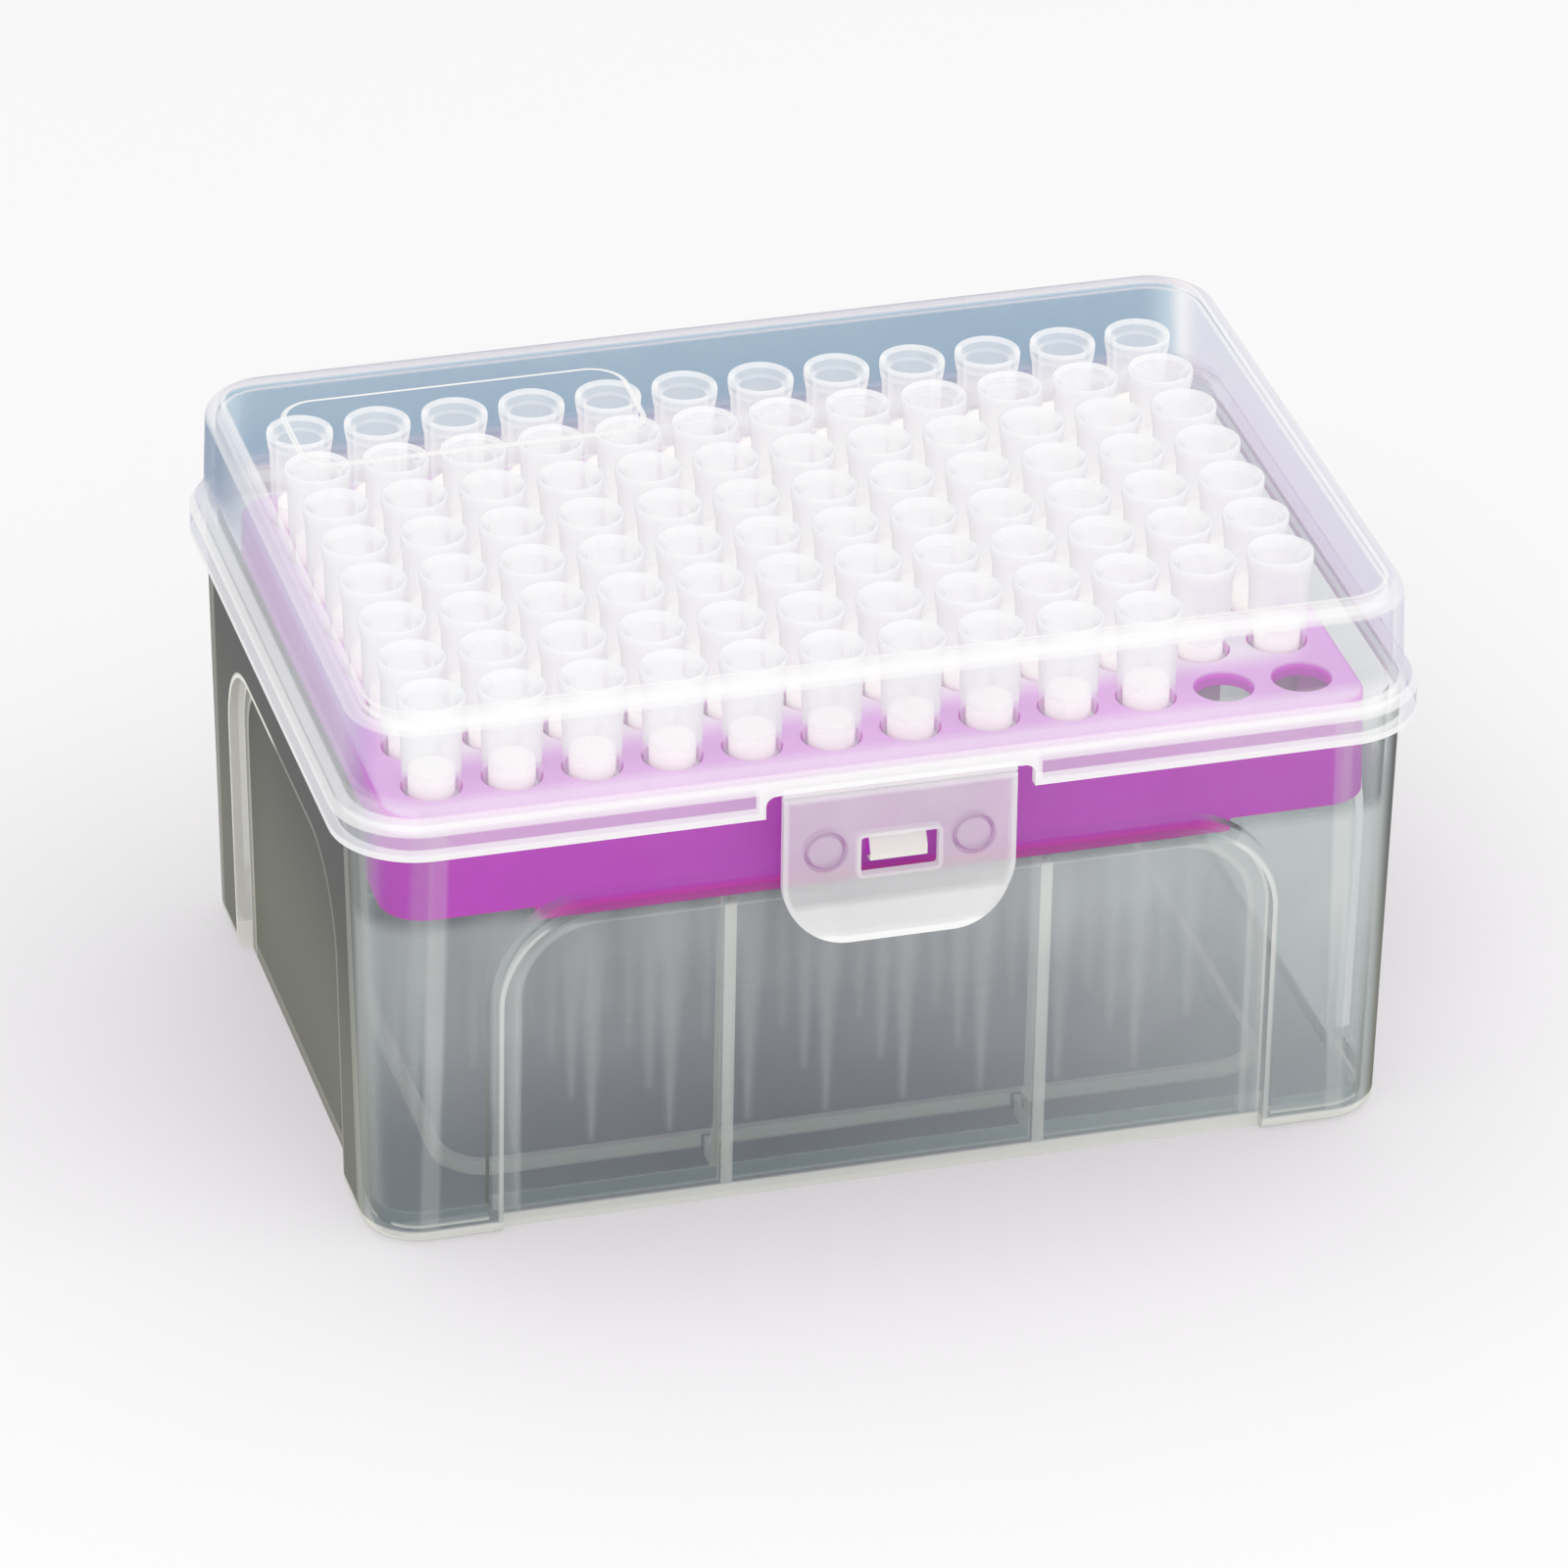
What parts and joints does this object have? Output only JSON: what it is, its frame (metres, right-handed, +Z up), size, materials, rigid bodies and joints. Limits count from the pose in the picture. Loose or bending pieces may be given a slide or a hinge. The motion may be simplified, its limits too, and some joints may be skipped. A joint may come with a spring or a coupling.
{
  "type": "box of pipette tips",
  "caption": "Hinged clear-lidded rack box of filter pipette tips: frosted tub, magenta carrier plate, snap latch tab, two empty places at the front right.",
  "frame": {"origin": "on the surface the box stands on, under the middle of the grid of tip places, which is also the middle of the base tub's foot", "axes": "+Z up, -Y towards the latch (front), +X to the right along the long side when seen from the front"},
  "size_m": [0.1232, 0.0925, 0.067],
  "materials": {
    "base_plastic": "frosted natural polypropylene, translucent grey, satin",
    "tray_plastic": "magenta polypropylene, satin, slightly translucent",
    "lid_plastic": "clear polypropylene with a light haze, smooth",
    "tab_plastic": "translucent polypropylene, whiter than the lid, satin",
    "tip_plastic": "milky natural polypropylene, thin and smooth",
    "filter_plastic": "porous cream-white sintered polyethylene"
  },
  "bodies": {
    "base": {"base_box": "base_plastic", "tip_tray": "tray_plastic", "tip_row_1": "tip_plastic", "tip_row_2": "tip_plastic", "tip_row_3": "tip_plastic", "tip_row_4": "tip_plastic", "tip_row_5": "tip_plastic", "tip_row_6": "tip_plastic", "tip_row_7": "tip_plastic", "tip_row_8": "tip_plastic", "filter_row_1": "filter_plastic", "filter_row_2": "filter_plastic", "filter_row_3": "filter_plastic", "filter_row_4": "filter_plastic", "filter_row_5": "filter_plastic", "filter_row_6": "filter_plastic", "filter_row_7": "filter_plastic", "filter_row_8": "filter_plastic"},
    "lid": {"lid": "lid_plastic"},
    "latch": {"latch_tab": "tab_plastic"}
  },
  "joints": [
    {"name": "lid_hinge", "type": "hinge", "parent": "base", "child": "lid", "pos_m": [0, 0.0452, 0.0506], "axis": [-1, 0, 0], "range_deg": [0, 105]},
    {"name": "latch_flex", "type": "hinge", "parent": "lid", "child": "latch", "pos_m": [0, -0.0432, 0.053], "axis": [-1, 0, 0], "range_deg": [0, 25], "stiffness_Nm_per_rad": 0.01}
  ]
}
